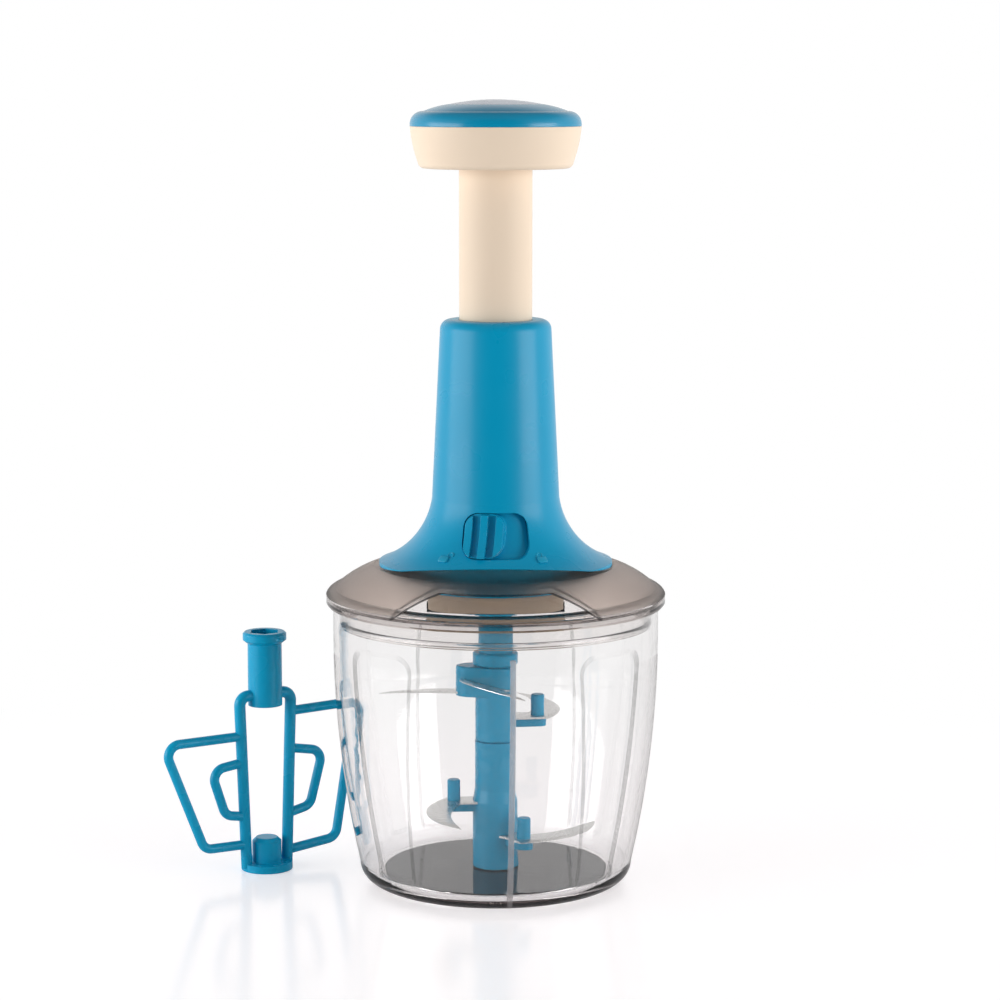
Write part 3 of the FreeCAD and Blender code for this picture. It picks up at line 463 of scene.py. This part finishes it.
FINISHES = {
    "blue_plastic": moulded("blue_plastic", BLUE),
    "cream_plastic": moulded("cream_plastic", CREAM, roughness=0.38, gleam=CREAM_GLEAM),
    "white_plastic": moulded("white_plastic", BEARING_WHITE, roughness=0.42, gleam=CREAM_GLEAM),
    "dark_plastic": moulded("dark_plastic", PLATE_SHADE_DARK, roughness=0.34, gleam=CREAM_GLEAM),
    "grey_plastic": gloss_inlay("grey_plastic"),
    "clear_plastic": clear_plastic("clear_plastic"),
    "smoke_plastic": smoke_plastic("smoke_plastic"),
    "silicone": silicone("silicone"),
    "dark_rubber": rubber("dark_rubber", RUBBER_DARK, roughness=0.6),
    "steel": steel("steel"),
}

PAINTED_LIGHT_TONES = (                 # nodes that differ from their slot: colour, tone, roughness, gleam; the tones darken the cap, clamp ring, drum and stems as painted shade and lighten the beater as painted light
    (["knob_cap"], BLUE, CAP_SHADE, 0.22, CAP_GLEAM),
    (["clamp_ring"], BLUE, RING_SHADE, 0.32, BLUE_GLEAM),
    (["lower_blade_stem", "upper_blade_stem", "drive_shaft"], BLUE, STEM_SHADE, 0.26, BLUE_GLEAM),
    (["beater"], BLUE, BEATER_PAINTED_LIGHT, 0.26, BLUE_GLEAM),
    (["drive_housing"], CREAM, DRUM_SHADE, 0.38, CREAM_GLEAM),
)


def dress_cad():
    """Gives every CAD node the finish of its material slot, or a copy of it made darker as painted
    shade or lighter as painted light.
    """
    for part in frame["record"]["subparts"]:
        mesh = nodes[part["node"]].data
        mesh.materials.clear()
        mesh.materials.append(FINISHES[part["material_slot"]])
    for names, colour, tone, roughness, gleam in PAINTED_LIGHT_TONES:
        shaded = moulded(names[-1] + "_plastic", shade(colour, tone), roughness, gleam)
        for name in names:
            nodes[name].data.materials[0] = shaded


# ---------------------------------------------------------------- pieces
def new_piece(name, mesh_maker, finish, body):
    """A smooth object of the mesh that mesh_maker builds, with its finish, slot and body."""
    mesh = bpy.data.meshes.new(name)
    work = bmesh.new()
    mesh_maker(work)
    bmesh.ops.recalc_face_normals(work, faces=work.faces)
    work.to_mesh(mesh)
    work.free()
    piece = bpy.data.objects.new(name, mesh)
    bpy.context.scene.collection.objects.link(piece)
    mesh.materials.append(finish)
    for face in mesh.polygons:
        face.use_smooth = True
    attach(piece, body)


def tower_surface(azimuth, height):
    """Point and outward direction on the tower's outside, azimuth from the front towards +X."""
    tower = nodes["tower"].data
    tree = BVHTree.FromPolygons([v.co for v in tower.vertices],
                                [tuple(p.vertices) for p in tower.polygons])
    angle = math.radians(azimuth)
    outward = Vector((math.sin(angle), -math.cos(angle), 0.0))
    start = outward * CAST_FROM + Vector((0, 0, height))
    point, normal, _, _ = tree.ray_cast(start, -outward)
    if normal.dot(outward) < 0:
        normal = -normal
    return point, normal


def mark_frame(azimuth):
    """Matrix from the flat mark (X right, Y up, Z proud) to its place on the flare."""
    point, out = tower_surface(azimuth, MARK_LEVEL)
    right = Vector((0, 0, 1)).cross(out).normalized()
    up = out.cross(right).normalized()
    turn = Matrix((right, up, out)).transposed().to_4x4()
    return Matrix.Translation(point) @ turn


def skin(work, rings):
    """Faces between neighbouring closed rings of points, and one face over each end."""
    count = len(rings[0])
    for first, second in zip(rings, rings[1:]):
        for i in range(count):
            j = (i + 1) % count
            work.faces.new((first[i], first[j], second[j], second[i]))
    work.faces.new(rings[0])
    work.faces.new(rings[-1])


def rounded_plate(work, width, height, corner, low, high, edge):
    """Plate with round corners and a softened top edge, centred on the origin."""
    rings = []
    middle = edge * EDGE_MIDDLE
    for level, inset in ((low, 0.0), (high - edge, 0.0), (high - middle, middle), (high, edge)):
        ring = []
        for quarter, (sx, sy) in enumerate(((1, 1), (-1, 1), (-1, -1), (1, -1))):
            centre = Vector((sx * (width / 2 - corner), sy * (height / 2 - corner)))
            for i in range(CORNER_ARC + 1):
                angle = math.radians(90 * (quarter + i / CORNER_ARC))
                reach = corner - inset
                ring.append(work.verts.new((centre.x + reach * math.cos(angle),
                                            centre.y + reach * math.sin(angle), level)))
        rings.append(ring)
    skin(work, rings)


def round_bar(work, path, radius):
    """Round bar with closed ends along a list of points in the XY plane."""
    rings = []
    for i, point in enumerate(path):
        before, after = path[max(0, i - 1)], path[min(len(path) - 1, i + 1)]
        along = (after - before).normalized()
        across = Vector((-along.y, along.x, 0)) * radius
        raised = Vector((0, 0, radius))
        ring = []
        for k in range(WIRE_SIDES):
            angle = 2 * math.pi * k / WIRE_SIDES
            ring.append(work.verts.new(point + across * math.cos(angle) + raised * math.sin(angle)))
        rings.append(ring)
    skin(work, rings)


def lock_mark(name, azimuth, is_open):
    """Raised padlock on the flare. The open one has its shackle swung to the side."""
    place = mark_frame(azimuth)

    def build(work):
        rounded_plate(work, MARK_W, MARK_BODY_H, MARK_CORNER, -MARK_SUNK, MARK_PROUD, MARK_EDGE)
        foot = MARK_BODY_H / 2 - MARK_SUNK
        bend = MARK_BODY_H / 2 + SHACKLE_LEG
        swing = MARK_W / 2 if is_open else 0.0
        free_end = foot + SHACKLE_LEG * (1 - SHACKLE_FREE) if is_open else foot
        path = [Vector((swing - SHACKLE_R, foot, 0))]
        for i in range(SHACKLE_ARC + 1):
            angle = math.pi * (1 - i / SHACKLE_ARC)
            path.append(Vector((swing + SHACKLE_R * math.cos(angle),
                                bend + SHACKLE_R * math.sin(angle), 0)))
        path.append(Vector((swing + SHACKLE_R, free_end, 0)))
        round_bar(work, path, SHACKLE_WIRE)
        bmesh.ops.transform(work, matrix=place, verts=work.verts)

    # the lighter blue of the marks is a painted highlight on their edges
    new_piece(name, build, moulded(name, MARK_LIT_BLUE, roughness=0.25), "lid")


def working_spring():
    """Stands for the return spring: a copy of its mesh that rides with the lid, the CAD spring
    hidden.
    """
    node = nodes["return_spring"]
    piece = bpy.data.objects.new("return_coil", node.data.copy())
    bpy.context.scene.collection.objects.link(piece)
    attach(piece, "lid")
    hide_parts("return_spring")
    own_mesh(piece)


# ---------------------------------------------------------------- studio
def floor():
    """Pale glossy table that fades to white away from the chopper."""
    mesh = bpy.data.meshes.new("floor")
    work = bmesh.new()
    bmesh.ops.create_circle(work, cap_ends=True, segments=FLOOR_SIDES, radius=FLOOR_R)
    work.to_mesh(mesh)
    work.free()
    disc = bpy.data.objects.new("floor", mesh)
    disc.location.z = -FLOOR_DROP
    bpy.context.scene.collection.objects.link(disc)
    look = Look("floor")
    look.set(Base_Color=FLOOR_WHITE, Roughness=0.16, Specular_IOR_Level=0.35)
    seen = look.seen(look.add("ShaderNodeLightPath").outputs)
    glow = look.emission(FLOOR_WHITE, look.product(seen, FLOOR_GLOW))
    near = look.fill(look.add("ShaderNodeAddShader"), look.shader.outputs[0], glow)
    distance = look.add("ShaderNodeVectorMath", operation="LENGTH")
    look.join(look.place, distance.inputs[0])
    far = look.step(distance.outputs["Value"], *FLOOR_FADE)
    surface = look.mix_shaders(look.product(far, seen), near, look.emission(WHITE, 1.0))
    look.join(surface, look.output.inputs["Surface"])
    mesh.materials.append(look.material)


def world():
    """White to the eye and through clear plastic. As a light it is dim round the camera and
    overhead. What gloss mirrors is dark round the camera, bright at the sides, a little greyer
    behind and grey overhead."""
    sky = bpy.data.worlds.new("studio")
    bpy.context.scene.world = sky
    sky.use_nodes = True
    graph = Graph(sky.node_tree)
    _, depth, height = graph.split(graph.add("ShaderNodeTexCoord").outputs["Generated"])
    mirrored = graph.product(graph.step(depth, *MIRROR_BY_DEPTH), graph.step(depth, *MIRROR_BEHIND),
                             graph.step(height, *MIRROR_BY_HEIGHT))
    diffuse = graph.product(graph.step(depth, *LIGHT_BY_DEPTH), graph.step(height, *LIGHT_BY_HEIGHT))
    ray = graph.add("ShaderNodeLightPath").outputs
    level = graph.choose(graph.seen(ray), graph.choose(ray["Is Glossy Ray"], diffuse, mirrored), 1.0)
    graph.fill(sky.node_tree.nodes["Background"], WHITE, level)


def softbox(name, at, width, power):
    """Upright lamp with a wide face, turned to the middle of the chopper."""
    lamp = bpy.data.lights.new(name, "AREA")
    lamp.shape = "RECTANGLE"
    lamp.size = width
    lamp.size_y = LAMP_HEIGHT
    lamp.energy = power
    stand = bpy.data.objects.new(name, lamp)
    stand.location = at
    stand.rotation_mode = "QUATERNION"
    stand.rotation_quaternion = (LAMP_AIM - at).to_track_quat("-Z", "Y")
    bpy.context.scene.collection.objects.link(stand)


def studio():
    world()
    floor()
    for lamp in LAMPS:
        softbox(*lamp)


def camera():
    """The camera that was fitted to the photograph."""
    data = bpy.data.cameras.new("camera")
    data.sensor_width = SENSOR_MM
    data.lens = FOCAL_PX / FRAME_PX * SENSOR_MM
    data.shift_x = (FRAME_PX / 2 - AXIS_PX) / FRAME_PX
    eye = bpy.data.objects.new("camera", data)
    eye.location = CAMERA_AT
    eye.rotation_mode = "QUATERNION"
    eye.rotation_quaternion = (CAMERA_AIM - CAMERA_AT).to_track_quat("-Z", "Y")
    bpy.context.scene.collection.objects.link(eye)
    bpy.context.scene.camera = eye


# ---------------------------------------------------------------- scene
camera()
dress_cad()
lock_mark("mark_open", MARK_OPEN_DEG, True)
lock_mark("mark_shut", MARK_SHUT_DEG, False)
working_spring()
studio()
bpy.context.scene.view_settings.view_transform = "Standard"
